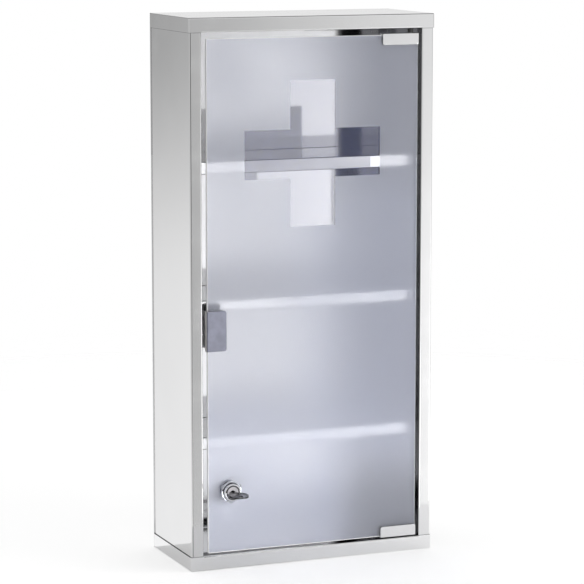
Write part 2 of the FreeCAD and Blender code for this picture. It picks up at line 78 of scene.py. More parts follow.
ROUNDED_ANGLE = math.radians(40.0)
ROUNDING_SEGMENTS = 3
WELD_DISTANCE = 0.002 * MM
DOUBLES_DISTANCE = 0.0005 * MM
MARK_EDGE = 0.005 * MM

log = logging.getLogger("medicine_cabinet")

Colour = Tuple[float, float, float]
Place = Tuple[float, float, float]
Pair = Tuple[float, float]
Sockets = Dict[Union[str, int], object]

LOCK_CENTRE: Pair = (-98.0 * MM, -217.0 * MM)


class Signal:
    """A socket of a node tree that takes part in Python expressions."""

    def __init__(self, graph: "Graph", socket: bpy.types.NodeSocket) -> None:
        """Wraps one output socket of the graph."""
        self.graph = graph
        self.socket = socket

    @property
    def is_vector(self) -> bool:
        """True for a vector or colour socket."""
        return self.socket.type in ("VECTOR", "RGBA")

    def _join(self, operation: str, first: "Operand", second: "Operand") -> "Signal":
        """Adds the node for one operator.

        Args:
            operation: the operation's name, the same for numbers and vectors.
            first: the left operand.
            second: the right operand.

        Returns:
            The result as a new signal.
        """
        both = (first, second)
        if any(isinstance(value, Signal) and value.is_vector for value in both):
            return self.graph.vector(operation, *both)
        return self.graph.maths(operation, *both)

    def __add__(self, other: "Operand") -> "Signal":
        """self + other."""
        return self._join("ADD", self, other)

    def __radd__(self, other: "Operand") -> "Signal":
        """other + self."""
        return self._join("ADD", other, self)

    def __sub__(self, other: "Operand") -> "Signal":
        """self - other."""
        return self._join("SUBTRACT", self, other)

    def __rsub__(self, other: "Operand") -> "Signal":
        """other - self."""
        return self._join("SUBTRACT", other, self)

    def __mul__(self, other: "Operand") -> "Signal":
        """self * other."""
        return self._join("MULTIPLY", self, other)

    def __rmul__(self, other: "Operand") -> "Signal":
        """other * self."""
        return self._join("MULTIPLY", other, self)

    def __lt__(self, other: "Operand") -> "Signal":
        """1 where self is below other, else 0."""
        return self.graph.maths("LESS_THAN", self, other)

    def __gt__(self, other: "Operand") -> "Signal":
        """1 where self is above other, else 0."""
        return self.graph.maths("GREATER_THAN", self, other)

    def __or__(self, other: "Operand") -> "Signal":
        """The larger of two masks."""
        return self.graph.maths("MAXIMUM", self, other)

    def __abs__(self) -> "Signal":
        """The size of the value without its sign."""
        return self.graph.maths("ABSOLUTE", self)

    def towards(self, other: "Operand", share: "Signal") -> "Signal":
        """This value where the share is 0, the other where it is 1."""
        return self * (1.0 - share) + share * other

    def smooth(self, low: float, high: float, start: float = 0.0, end: float = 1.0) -> "Signal":
        """A soft step, which falls where high is below low: start at low, end at high."""
        sockets = {"Value": self, "From Min": low, "From Max": high, "To Min": start, "To Max": end}
        return self.graph.node("ShaderNodeMapRange", {"interpolation_type": "SMOOTHSTEP"}, sockets, "Result")


Operand = Union[Signal, float, Sequence[float]]


class Graph:
    """A node tree that is emptied and filled again in code."""

    def __init__(self, tree: bpy.types.NodeTree) -> None:
        """Takes over a material's or a world's node tree."""
        self.tree = tree
        tree.nodes.clear()

    def node(
        self,
        kind: str,
        settings: Optional[Dict[str, object]] = None,
        sockets: Optional[Sockets] = None,
        output: Union[int, str] = 0,
    ) -> Optional[Signal]:
        """Adds one node.

        Args:
            kind: the node's type.
            settings: its properties, set before its sockets.
            sockets: a value, or a signal to link, for each input. A colour has three numbers.
            output: which of its outputs is wanted.

        Returns:
            That output, or nothing from a node without outputs.
        """
        made = self.tree.nodes.new(kind)
        for name, value in (settings or {}).items():
            setattr(made, name, value)
        for key, value in (sockets or {}).items():
            socket = made.inputs[key]
            if isinstance(value, Signal):
                self.tree.links.new(value.socket, socket)
            else:
                socket.default_value = (*value, 1.0) if socket.type == "RGBA" else value
        return Signal(self, made.outputs[output]) if made.outputs else None

    def maths(self, operation: str, *values: Operand) -> Signal:
        """A Math node's result."""
        return self.node("ShaderNodeMath", {"operation": operation}, dict(enumerate(values)))

    def vector(self, operation: str, *values: Operand) -> Signal:
        """A Vector Math node's result.

        Args:
            operation: the node's operation.
            values: its inputs in order. A plain number counts for all three axes.

        Returns:
            A number for LENGTH, else a vector.
        """
        full = [(value,) * 3 if isinstance(value, (int, float)) else value for value in values]
        output = "Value" if operation == "LENGTH" else "Vector"
        return self.node("ShaderNodeVectorMath", {"operation": operation}, dict(enumerate(full)), output)

    def blend(self, factor: Operand, first: Operand, second: Operand) -> Signal:
        """The first colour where the factor is 0, the second where it is 1."""
        settings = {"data_type": "RGBA", "blend_type": "MIX"}
        return self.node("ShaderNodeMix", settings, {"Factor": factor, 6: first, 7: second}, 2)

    def place(self, kind: str = "Object") -> Signal:
        """The point's place in its object's own frame, or another of its coordinates."""
        return self.node("ShaderNodeTexCoord", output=kind)

    def axes(self, vector: Signal) -> Tuple[Signal, Signal, Signal]:
        """The three parts of a vector."""
        split = self.node("ShaderNodeSeparateXYZ", None, {0: vector})
        return tuple(Signal(self, output) for output in split.socket.node.outputs)

    def radius(self, x: Signal, z: Signal, centre: Pair) -> Signal:
        """The distance from an axis along the depth."""
        across = self.node("ShaderNodeCombineXYZ", None, {0: x - centre[0], 2: z - centre[1]})
        return self.vector("LENGTH", across)

    def noise(self, vector: Signal, scale: float, detail: float = 2.0, roughness: float = 0.5) -> Signal:
        """Noise between 0 and 1, with this many features per metre."""
        sockets = {"Vector": vector, "Scale": scale, "Detail": detail, "Roughness": roughness}
        return self.node("ShaderNodeTexNoise", None, sockets)

    def bump(self, height: Signal, distance: float, under: Optional[Signal] = None) -> Signal:
        """A normal that follows a height.

        Args:
            height: the height, where 1 stands for the full distance.
            distance: how high 1 is, in metres.
            under: another normal that this one adds to.

        Returns:
            The bumped normal.
        """
        sockets: Sockets = {"Height": height, "Distance": distance, "Strength": 1.0}
        if under is not None:
            sockets["Normal"] = under
        return self.node("ShaderNodeBump", None, sockets, "Normal")

    def surface(self, sockets: Sockets) -> Signal:
        """A Principled surface with these sockets."""
        return self.node("ShaderNodeBsdfPrincipled", None, sockets)

    def mix_surfaces(self, factor: Operand, first: Signal, second: Signal) -> Signal:
        """Two surfaces, the second where the factor is 1."""
        return self.node("ShaderNodeMixShader", None, {0: factor, 1: first, 2: second})

    def rays(self, *kinds: str) -> List[Signal]:
        """What a ray is or has passed, by the Light Path node's words."""
        return [self.node("ShaderNodeLightPath", output=kind) for kind in kinds]

    def finish(self, surface: Signal, kind: str = "ShaderNodeOutputMaterial") -> None:
        """Links the surface to the tree's output."""
        self.node(kind, None, {"Surface": surface})


@dataclass(frozen=True)
class Patch:
    """A share that fades in over soft steps along x, y and z, each step as (nothing, full)."""

    share: float
    x: Tuple[Pair, ...] = ()
    y: Tuple[Pair, ...] = ()
    z: Tuple[Pair, ...] = ()

    def at(self, x: Signal, y: Signal, z: Signal) -> Operand:
        """The share at one place, or in one direction.

        Args:
            x: the place along x.
            y: the place along y.
            z: the place along z.

        Returns:
            The share.
        """
        made: Operand = self.share
        for value, steps in ((x, self.x), (y, self.y), (z, self.z)):
            for step in steps:
                made = value.smooth(*step) * made
        return made


def beyond(limit: float, side: int) -> Pair:
    """A sharp step just past a limit, upwards for 1 and downwards for -1."""
    return (limit, limit + side * MARK_EDGE)


@dataclass(frozen=True)
class Finish:
    """What a piece's surface is made of."""

    name: str

    def surface(self, graph: Graph) -> Signal:
        """Builds the surface in the graph."""
        raise NotImplementedError

    def material(self) -> bpy.types.Material:
        """The finish as a Blender material, made once.

        Returns:
            The material.
        """
        title = f"{self.name}_finish"
        known = bpy.data.materials.get(title)
        if known is not None:
            return known
        made = bpy.data.materials.new(title)
        made.use_nodes = True
        graph = Graph(made.node_tree)
        graph.finish(self.surface(graph))
        return made


@dataclass(frozen=True)
class Solidly(Finish):
    """A finish that light doesn't pass, with a mark of another colour where a piece has one."""

    colour: Colour = (0.7, 0.7, 0.7)
    roughness: float = 0.2
    mark_colour: Colour = (0.05, 0.05, 0.055)
    patch: Optional[Patch] = None

    def mark(self, x: Signal, y: Signal, z: Signal) -> Optional[Signal]:
        """1 on the mark and 0 elsewhere, or nothing for a plain piece."""
        return None if self.patch is None else self.patch.at(x, y, z)

    def marked(self, base: Union[Signal, Colour], mark: Optional[Signal]) -> Union[Signal, Colour]:
        """The base colour with the mark's colour over it."""
        return base if mark is None else mark.graph.blend(mark, base, self.mark_colour)


@dataclass(frozen=True)
class SheetSteel(Solidly):
    """Polished stainless sheet: a near mirror with a little waviness and smears."""

    colour: Colour = (0.80, 0.80, 0.805)
    roughness: float = 0.07
    smear: float = 0.05
    smear_scale: float = 22.0
    smear_layers: Pair = (4.0, 0.6)
    smear_step: Pair = (0.45, 0.75)
    wave_scale: float = 9.0
    wave_height: float = 0.12 * MM

    def tone(self, x: Signal, y: Signal, z: Signal) -> Union[Signal, Colour]:
        """The sheet's colour from place to place."""
        return self.marked(self.colour, self.mark(x, y, z))

    def gloss(self, polished: Signal, x: Signal, y: Signal) -> Signal:
        """The roughness from place to place, from that of the polished sheet."""
        return polished

    def lean(self, place: Signal, x: Signal, y: Signal, z: Signal) -> Optional[Signal]:
        """A normal under the waviness, or nothing for a sheet that is true."""
        return None

    def surface(self, graph: Graph) -> Signal:
        """Builds the surface in the graph.

        Args:
            graph: the material's graph.

        Returns:
            The surface.
        """
        place = graph.place()
        x, y, z = graph.axes(place)
        smears = graph.noise(place, self.smear_scale, *self.smear_layers).smooth(*self.smear_step)
        wave = graph.noise(place, self.wave_scale, 1.0)
        return graph.surface(
            {
                "Base Color": self.tone(x, y, z),
                "Metallic": 1.0,
                "Roughness": self.gloss(self.roughness + smears * self.smear, x, y),
                "Normal": graph.bump(wave, self.wave_height, self.lean(place, x, y, z)),
            }
        )


@dataclass(frozen=True)
class LinedSteel(SheetSteel):
    """Sheet steel with fine upright polishing lines."""

    line_height: float = 0.0006 * MM
    line_scale: float = 4000.0
    line_stretch: Place = (1.0, 1.0, 0.02)

    def lean(self, place: Signal, x: Signal, y: Signal, z: Signal) -> Signal:
        """A normal under the waviness: the lines."""
        lines = place.graph.noise(place * self.line_stretch, self.line_scale, 1.0)
        return place.graph.bump(lines, self.line_height)


@dataclass(frozen=True)
class BackSteel(SheetSteel):
    """Sheet steel of the back panel, which stands a little out of true and is painted darker above inside, as
    painted shade.
    """

    colour: Colour = (0.83, 0.83, 0.835)
    # The mark colour is painted shade on the inner face above the upper shelf.
    mark_colour: Colour = (0.68, 0.68, 0.685)
    slope_x: float = 0.0139
    slope_z: float = 0.020
    bow_above: float = 146.0 * MM
    inner_y: float = -0.4 * MM

    def mark(self, x: Signal, y: Signal, z: Signal) -> Signal:
        """The inner face above the upper shelf, which carries the painted shade."""
        return (z > self.bow_above) * (y < self.inner_y)

    def lean(self, place: Signal, x: Signal, y: Signal, z: Signal) -> Signal:
        """A normal under the waviness: inside, the whole panel leans and its upper part turns."""
        height = x * self.slope_x * self.mark(x, y, z) + z * self.slope_z * (y < self.inner_y)
        return x.graph.bump(height, 1.0)


@dataclass(frozen=True)
class ShelfSteel(SheetSteel):
    """Sheet steel of the shelves, whose lips spring back a little and face slightly down."""

    lip_y: float = -105.7 * MM
    lip_slope: float = 0.05

    def lean(self, place: Signal, x: Signal, y: Signal, z: Signal) -> Signal:
        """A normal under the waviness: the lip's turn."""
        return z.graph.bump(z * (y < self.lip_y), self.lip_slope)


@dataclass(frozen=True)
class BottomCapSteel(SheetSteel):
    """Sheet steel of the bottom cap, with shadow on its rail under the glass."""

    colour: Colour = (0.89, 0.89, 0.895)
    mark_colour: Colour = (0.06, 0.06, 0.07)
    rail_turn: Pair = (-0.06, 0.03)
    rail_y: Pair = (-120.6 * MM, -124.2 * MM)
    rail_z: float = -288.4 * MM

    def mark(self, x: Signal, y: Signal, z: Signal) -> Signal:
        """The rail's shadow, which starts further forward at the right."""
        return (y > x.smooth(*self.rail_turn, *self.rail_y)) * (z > self.rail_z)


@dataclass(frozen=True)
class SidePanelSteel(SheetSteel):
    """Sheet steel polished outside, with the mill's dull finish on its inner faces."""

    inner_x: float = 143.65 * MM
    inner_y: float = -123.65 * MM
    dull_colour: Colour = (0.41, 0.41, 0.425)
    dull_roughness: float = 0.16
    shade_step: Pair = (-100.0 * MM, -112.0 * MM)
    shade_side: Pair = (0.0, 1.0 * MM)
    shade_colour: Colour = (0.12, 0.12, 0.125)
    # Painted shade: a thin dark band just under the edges of the top and bottom caps.
    seam_shade_step: Pair = (287.25 * MM, 287.75 * MM)
    seam_shade_colour: Colour = (0.3, 0.3, 0.3)
    # Painted dark reflection in a thin strip beside the front corner bend.
    bend_shade_band: Pair = (-143.0 * MM, -142.1 * MM)
    bend_shade_colour: Colour = (0.25, 0.25, 0.25)

    def inside(self, x: Signal, y: Signal) -> Signal:
        """1 on the inner faces."""
        return (abs(x) < self.inner_x) * (y > self.inner_y)

    def tone(self, x: Signal, y: Signal, z: Signal) -> Signal:
        """The colour: outside, a painted dark reflection beside the front bend and painted shade under the
        caps' edges; inside, dull with a painted shaded front.

        Args:
            x: the place along x.
            y: the place along y.
            z: the place along z.

        Returns:
            The colour.
        """
        blend = x.graph.blend
        # Painted dark reflection beside the front corner bend.
        bend_shade = (x > self.bend_shade_band[0]) * (x < self.bend_shade_band[1]) * (y < self.inner_y)
        bend_shaded = blend(bend_shade, self.colour, self.bend_shade_colour)
        # Painted shade under the caps' edges.
        polished = blend(abs(z).smooth(*self.seam_shade_step), bend_shaded, self.seam_shade_colour)
        shade = y.smooth(*self.shade_step) * x.smooth(*self.shade_side)
        return blend(self.inside(x, y), polished, blend(shade, self.dull_colour, self.shade_colour))

    def gloss(self, polished: Signal, x: Signal, y: Signal) -> Signal:
        """The roughness, which is even and dull inside."""
        return polished.towards(self.dull_roughness, self.inside(x, y))


@dataclass(frozen=True)
class Grained(Solidly):
    """A hard surface with a fine grain and some wear."""

    spread: float = 0.1
    metallic: float = 1.0
    mark_metallic: float = 1.0
    transmission: float = 0.0
    detail: float = 3.0
    grain_scale: float = 900.0
    grain_height: float = 0.01 * MM
    wear_size: float = 9.0
    wear_step: Optional[Pair] = (0.35, 0.7)
    worn: float = 0.85
    worn_lift: float = 0.0

    def surface(self, graph: Graph) -> Signal:
        """Builds the surface in the graph.

        Args:
            graph: the material's graph.

        Returns:
            The surface.
        """
        place = graph.place()
        mark = self.mark(*graph.axes(place))
        grain = graph.noise(place, self.grain_scale, self.detail)
        wear = graph.noise(place, self.grain_scale / self.wear_size, self.detail)
        base: Union[Signal, Colour] = self.colour
        if self.worn != 1.0:
            other = [min(1.0, part * self.worn + self.worn_lift) for part in self.colour]
            base = graph.blend(wear.smooth(*self.wear_step) if self.wear_step else wear, base, other)
        metallic: Operand = self.metallic
        if mark is not None and self.mark_metallic != self.metallic:
            metallic = self.metallic + mark * (self.mark_metallic - self.metallic)
        return graph.surface(
            {
                "Base Color": self.marked(base, mark),
                "Metallic": metallic,
                "Roughness": self.roughness + (wear - 0.5) * self.spread,
                "Transmission Weight": self.transmission,
                "Normal": graph.bump(grain, self.grain_height),
            }
        )


@dataclass(frozen=True)
class Metal(Grained):
    """Cast, turned or plated metal."""


@dataclass(frozen=True)
class LockMetal(Metal):
    """Plated metal of the lock, dark in rings about its axis where grooves and gaps hold shadow."""

    wear_size: float = 1.0
    worn: float = 1.0
    rings: Tuple[Pair, ...] = ()
    soft: float = 0.2 * MM
    behind: float = -1.0

    def mark(self, x: Signal, y: Signal, z: Signal) -> Signal:
        """The rings of shadow.

        Args:
            x: the place along x.
            y: the place along y.
            z: the place along z.

        Returns:
            1 in them and 0 elsewhere.
        """
        radius = x.graph.radius(x, z, LOCK_CENTRE)
        shadow: Operand = 0.0
        for inner, outer in self.rings:
            ring = radius.smooth(inner - self.soft, inner + self.soft)
            shadow = ring * radius.smooth(outer + self.soft, outer - self.soft) | shadow
        return shadow * (y > self.behind)


@dataclass(frozen=True)
class Plastic(Grained):
    """Moulded plastic with a fine texture and faint patches."""

    colour: Colour = (0.02, 0.02, 0.02)
    roughness: float = 0.4
    mark_colour: Colour = (0.02, 0.02, 0.02)
    spread: float = 0.12
    metallic: float = 0.0
    mark_metallic: float = 0.0
    detail: float = 2.0
    grain_scale: float = 1800.0
    grain_height: float = 0.02 * MM
    wear_size: float = 30.0
    wear_step: Optional[Pair] = None
    worn: float = 1.25
    worn_lift: float = 0.004


ZINC = Metal("zinc_plated", (0.62, 0.62, 0.64), 0.25)


@dataclass(frozen=True)
class DoorGlass(Finish):
    """Float glass, satin etched on its back apart from a clear cross, with ground edges."""

    tint: Colour = (0.98, 0.98, 0.99)
    ior: float = 1.5
    etch_roughness: float = 0.57
    etch_spread: float = 0.08
    etch_scale: float = 2500.0
    veil_colour: Colour = (0.80, 0.84, 1.0)
    veil_share: float = 0.29
    veil_roughness: float = 0.6
    veil_ior: float = 1.05
    front_share: float = 0.06
    # Painted light: more veil to the right and low down brightens the satin there; painted shade: less veil
    # in the lower right corner darkens it.
    dense_right: Patch = Patch(0.16, x=((-0.07, 0.02),), z=((0.17, 0.08),))
    painted_light_low: Patch = Patch(0.12, z=((-0.09, -0.145),))
    painted_shade_corner: Patch = Patch(0.24, x=((0.01, 0.07),), z=((-0.16, -0.24),))
    cross_veil_colour: Colour = (0.12, 0.22, 0.95)
    cross_veil_share: float = 0.1
    cross_centre: Pair = (1.0 * MM, 153.5 * MM)
    cross_square: float = 53.6 * MM
    edge_colour: Colour = (1.0, 1.0, 1.0)
    edge_share: float = 0.85
    edge_roughness: float = 0.35
    edge_ior: float = 1.3
    edge_width: float = 0.6 * MM
    right_edge_width: float = 0.1 * MM
    low: Place = (0.0, 0.0, 0.0)
    high: Place = (0.0, 0.0, 0.0)

    def pane(self, graph: Graph, roughness: Operand) -> Signal:
        """Glass that light passes.

        Args:
            graph: the material's graph.
            roughness: how much its face scatters.

        Returns:
            The surface.
        """
        return graph.surface(
            {"Base Color": self.tint, "Roughness": roughness, "IOR": self.ior, "Transmission Weight": 1.0}
        )

    def veil(self, graph: Graph, colour: Colour) -> Signal:
        """The pale film that an etched or handled face shows."""
        return graph.surface({"Base Color": colour, "Roughness": self.veil_roughness, "IOR": self.veil_ior})

    def cross(self, x: Signal, z: Signal) -> Signal:
        """1 in the clear cross, which is five squares.

        Args:
            x: the place along x.
            z: the place along z.

        Returns:
            The mask.
        """
        across, along = abs(x - self.cross_centre[0]), abs(z - self.cross_centre[1])
        half, arm = 0.5 * self.cross_square, 1.5 * self.cross_square
        return ((across < half) * (along < arm)) | ((across < arm) * (along < half))

    def edge(self, x: Signal, z: Signal) -> Signal:
        """1 along the ground edges.

        Args:
            x: the place along x.
            z: the place along z.

        Returns:
            The mask.
        """
        inside_x = (x > self.low[0] + self.edge_width) * (x < self.high[0] - self.right_edge_width)
        inside_z = (z > self.low[2] + self.edge_width) * (z < self.high[2] - self.edge_width)
        return 1.0 - inside_x * inside_z

    def surface(self, graph: Graph) -> Signal:
        """Builds the surface in the graph.

        Args:
            graph: the material's graph.

        Returns:
            The surface.
        """
        place = graph.place()
        x, y, z = graph.axes(place)
        cross = self.cross(x, z)
        etch = graph.noise(place, self.etch_scale, 2.0)
        clear = self.pane(graph, 0.0)
        satin = self.pane(graph, self.etch_roughness + (etch - 0.5) * self.etch_spread)
        veil = self.veil(graph, self.veil_colour)
        patches = (self.dense_right, self.painted_light_low, self.painted_shade_corner)
        right, low, corner = (patch.at(x, y, z) for patch in patches)
        # The veil's share carries painted light to the right and low down, and painted shade in the lower
        # right corner.
        etched = graph.mix_surfaces((right | low) - corner + self.veil_share, satin, veil)
        cross_veil = self.veil(graph, self.cross_veil_colour)
        cleared = graph.mix_surfaces(self.cross_veil_share, clear, cross_veil)
        back_face = graph.mix_surfaces(cross, etched, cleared)
        front_face = graph.mix_surfaces((1.0 - cross) * self.front_share, clear, veil)
        faces = graph.mix_surfaces(y > self.high[1] - self.edge_width, front_face, back_face)
        ground = graph.surface(
            {"Base Color": self.edge_colour, "Roughness": self.edge_roughness, "IOR": self.edge_ior}
        )
        return graph.mix_surfaces(self.edge(x, z), faces, graph.mix_surfaces(self.edge_share, satin, ground))


def added(name: str, data: bpy.types.ID) -> bpy.types.Object:
    """A new object in the scene.

    Args:
        name: its name.
        data: its mesh, curve, lamp or camera.

    Returns:
        The object.
    """
    thing = bpy.data.objects.new(name, data)
    bpy.context.scene.collection.objects.link(thing)
    return thing


def settled(thing: bpy.types.Object) -> bpy.types.Mesh:
    """A piece's mesh with its modifiers applied.

    Args:
        thing: the piece.

    Returns:
        The mesh.
    """
    bpy.context.view_layer.update()
    depsgraph = bpy.context.evaluated_depsgraph_get()
    return bpy.data.meshes.new_from_object(thing.evaluated_get(depsgraph))


def turns(count: int) -> List[float]:
    """Equal steps round a circle, in radians."""
    return [2.0 * math.pi * i / count for i in range(count)]


def circle(radius: float, segments: int = 64, centre: Pair = (0.0, 0.0)) -> List[Pair]:
    """A circle's outline as points."""
    return [(centre[0] + radius * math.cos(t), centre[1] + radius * math.sin(t)) for t in turns(segments)]


def between(half: float, start: float, end: float) -> List[Pair]:
    """A rectangle's outline as points, from one place to another along its middle line."""
    return [(-half, start), (half, start), (half, end), (-half, end)]


def rectangle(width: float, height: float) -> List[Pair]:
    """A rectangle's outline as points about its middle."""
    return between(width / 2.0, -height / 2.0, height / 2.0)


def smoothed(outline: Sequence[Pair], rounds: int) -> List[Pair]:
    """Cuts an outline's corners again and again until it is a smooth curve.

    Args:
        outline: its points.
        rounds: how often they are cut.

    Returns:
        The points of the curve.
    """
    points = list(outline)
    for _ in range(rounds):
        cut = []
        for (x0, y0), (x1, y1) in zip(points, points[1:] + points[:1]):
            cut.append((0.75 * x0 + 0.25 * x1, 0.75 * y0 + 0.25 * y1))
            cut.append((0.25 * x0 + 0.75 * x1, 0.25 * y0 + 0.75 * y1))
        points = cut
    return points


class Axis(Enum):
    """The direction in which a piece is turned or extruded."""

    DEPTH = "depth"
    UPRIGHT = "upright"

    def point(self, across: float, other: float, along: float) -> Place:
        """A point from its two places across the axis and one along it.

        Args:
            across: the place along x.
            other: z for a piece along the depth, y for an upright one.
            along: the place along the axis.

        Returns:
            The point in the part's frame.
        """
        if self is Axis.DEPTH:
            return (across, along, other)
        return (across, other, along)


class Solid:
    """A mesh in the making, in the part's frame."""

    def __init__(self, axis: Axis = Axis.DEPTH, centre: Pair = (0.0, 0.0)) -> None:
        """Starts an empty solid about one axis.

        Args:
            axis: the direction of its centre line.
            centre: where that line is, across the axis.
        """
        self.axis = axis
        self.centre = centre
        self.shape = bmesh.new()

    def _corner(self, across: float, other: float, along: float) -> bmesh.types.BMVert:
        """Adds one corner, given from the solid's own centre line."""
        place = self.axis.point(self.centre[0] + across, self.centre[1] + other, along)
        return self.shape.verts.new(place)

    def _skin(self, rings: Sequence[Sequence[bmesh.types.BMVert]], closed: bool) -> None:
        """Joins rings of corners with faces.

        Args:
            rings: the rings in order. A ring of one corner is a tip.
            closed: whether the last ring joins the first.
        """
        pairs = list(zip(rings, rings[1:]))
        if closed:
            pairs.append((rings[-1], rings[0]))
        for low, high in pairs:
            count = max(len(low), len(high))
            for i in range(count):
                j = (i + 1) % count
                corners = [low[i % len(low)], low[j % len(low)], high[j % len(high)], high[i % len(high)]]
                unique = list(dict.fromkeys(corners))
                if len(unique) > 2:
                    self.shape.faces.new(unique)

    def turned(self, profile: Sequence[Pair], closed: bool = False, segments: int = 64) -> "Solid":
        """Turns a profile round the axis.

        Args:
            profile: points as (radius, place along the axis).
            closed: whether the profile is a ring, as of a washer.
            segments: how many facets go round.

        Returns:
            The solid itself.
        """
        rings = []
        for radius, along in profile:
            if radius == 0.0:
                rings.append([self._corner(0.0, 0.0, along)])
                continue
            rings.append([self._corner(x, z, along) for x, z in circle(radius, segments)])
        self._skin(rings, closed)
        return self

    def hexagon(self, flats: float, bore: float, front: float, back: float, face: float) -> "Solid":
        """A hexagonal nut with turned chamfers on both ends.

        Args:
            flats: the distance across its flats.
            bore: the radius of its bore.
            front: where its front face is.
            back: where its back face is.
            face: the radius of the flat face inside the chamfer.

        Returns:
            The solid itself.
        """
        count = 120
        sixth = math.pi / 3.0
        radii = [flats / 2.0 / math.cos((turn + sixth / 2.0) % sixth - sixth / 2.0) for turn in turns(count)]
        slopes = [max(0.0, radius - face) / 2.0 for radius in radii]
        rows = [
            ([bore] * count, [front] * count),
            ([face] * count, [front] * count),
            (radii, [front + slope for slope in slopes]),
            (radii, [back - slope for slope in slopes]),
            ([face] * count, [back] * count),
            ([bore] * count, [back] * count),
        ]
        ways = circle(1.0, count)
        rings = []
        for sizes, places in rows:
            rings.append([self._corner(r * x, r * z, y) for (x, z), r, y in zip(ways, sizes, places)])
        self._skin(rings, True)
        return self

    def plate(self, outline: Sequence[Pair], span: Pair, holes: Sequence[Sequence[Pair]] = ()) -> "Solid":
        """Extrudes a flat outline with holes.

        Args:
            outline: the outer outline from the centre line.
            span: where it starts and ends along the axis.
            holes: the outlines of its holes.

        Returns:
            The solid itself.
        """
        edges = []
        for loop in (outline, *holes):
            corners = [self._corner(across, other, span[0]) for across, other in loop]
            edges += [self.shape.edges.new(pair) for pair in zip(corners, corners[1:] + corners[:1])]
        filled = bmesh.ops.triangle_fill(self.shape, use_beauty=True, use_dissolve=False, edges=edges)
        faces = [item for item in filled["geom"] if isinstance(item, bmesh.types.BMFace)]
        raised = bmesh.ops.extrude_face_region(self.shape, geom=faces, use_keep_orig=True)
        tops = [item for item in raised["geom"] if isinstance(item, bmesh.types.BMVert)]
        shift = Vector(self.axis.point(0.0, 0.0, span[1] - span[0]))
        bmesh.ops.translate(self.shape, verts=tops, vec=shift)
        return self

    def piece(self, name: str, round_edges: float = 0.0) -> bpy.types.Object:
        """Ends the solid and puts it in the scene.

        Args:
            name: the piece's name.
            round_edges: how far its sharp edges are rounded.

        Returns:
            The piece.
        """
        bmesh.ops.remove_doubles(self.shape, verts=self.shape.verts, dist=DOUBLES_DISTANCE)
        bmesh.ops.recalc_face_normals(self.shape, faces=self.shape.faces)
        for face in self.shape.faces:
            face.smooth = True
        mesh = bpy.data.meshes.new(name)
        self.shape.to_mesh(mesh)
        self.shape.free()
        mesh.set_sharp_from_angle(angle=SHARP_ANGLE)
        thing = added(name, mesh)
        if round_edges > 0.0:
            Piece.soften(thing, round_edges)
        return thing


@dataclass(frozen=True)
class ScrewSize:
    """Sizes of a round-headed screw along the depth."""

    head: float
    shank: float
    tip: float
    seat: float
    top: float
    lead: float = 0.4 * MM
    rim_share: float = 0.35
    dome_steps: int = 8
    recess_reach: float = 0.62
    recess_width: float = 0.2
    recess_depth: float = 0.55


class Piece:
    """Helpers shared by everything that dresses or builds pieces."""

    @staticmethod
    def soften(thing: bpy.types.Object, width: float) -> None:
        """Rounds a piece's sharp edges by modifiers, so that they catch the light.

        Args:
            thing: the piece.
            width: how wide the rounding is.
        """
        weld = thing.modifiers.new("weld", "WELD")
        weld.merge_threshold = WELD_DISTANCE
        bevel = thing.modifiers.new("edge_rounding", "BEVEL")
        bevel.width = width
        bevel.segments = ROUNDING_SEGMENTS
        bevel.limit_method = "ANGLE"
        bevel.angle_limit = ROUNDED_ANGLE
        normals = thing.modifiers.new("even_normals", "WEIGHTED_NORMAL")
        normals.keep_sharp = False

    @staticmethod
    def carve(thing: bpy.types.Object, cutter: bpy.types.Object) -> None:
        """Cuts one solid out of another and drops the cutter.

        Args:
            thing: the piece that is cut.
            cutter: the solid that is taken away.
        """
        cut = thing.modifiers.new("cut", "BOOLEAN")
        cut.object = cutter
        cut.solver = "EXACT"
        carved = settled(thing)
        thing.modifiers.remove(cut)
        thing.data = carved
        carved.name = thing.name
        carved.set_sharp_from_angle(angle=SHARP_ANGLE)
        bpy.data.objects.remove(cutter)

    @staticmethod
    def fit(thing: bpy.types.Object, node: str, body: str, slot: str, finish: Finish) -> None:
        """Puts a detailed piece in the place of a carried-over one.

        Args:
            thing: the new piece.
            node: the carried-over piece that it stands for.
            body: the body that it moves with.
            slot: the record's material slot; not used.
            finish: its finish.
        """
        thing.data.materials.append(finish.material())
        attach(thing, body)
        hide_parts(node)
        log.info("%s stands for %s on %s", thing.name, node, body)

    @staticmethod
    def cross_screw(name: str, places: Sequence[Pair], size: ScrewSize) -> bpy.types.Object:
        """Round-headed screws with cross recesses, as one piece.

        Args:
            name: the piece's name.
            places: where the screws are, as (x, z).
            size: their sizes.

        Returns:
            The piece.
        """
        out = 1.0 if size.top > size.seat else -1.0
        rise = abs(size.top - size.seat)
        whole, recess = Solid(Axis.DEPTH), Solid(Axis.DEPTH)
        dome = []
        for i in range(size.dome_steps + 1):
            turn = math.pi / 2.0 * i / size.dome_steps
            share = size.rim_share + (1.0 - size.rim_share) * math.sin(turn)
            dome.append((size.head * math.cos(turn), size.seat + out * rise * share))
        dome[-1] = (0.0, dome[-1][1])
        profile = [(0.0, size.tip), (size.shank - size.lead, size.tip)]
        profile += [(size.shank, size.tip + out * size.lead), (size.shank, size.seat), (size.head, size.seat)]
        profile += dome
        arm, width = size.recess_reach * size.head, size.recess_width * size.head
        cross = [
            (width, width), (width, arm), (-width, arm), (-width, width), (-arm, width), (-arm, -width),
            (-width, -width), (-width, -arm), (width, -arm), (width, -width), (arm, -width), (arm, width),
        ]
        for place in places:
            whole.centre = place
            whole.turned(profile, segments=48)
            recess.centre = place
            recess.plate(cross, (size.top - out * size.recess_depth * rise, size.top + out * MM))
        made = whole.piece(name)
        Piece.carve(made, recess.piece("recess"))
        return made


Dressing = Dict[str, Tuple[Finish, float]]


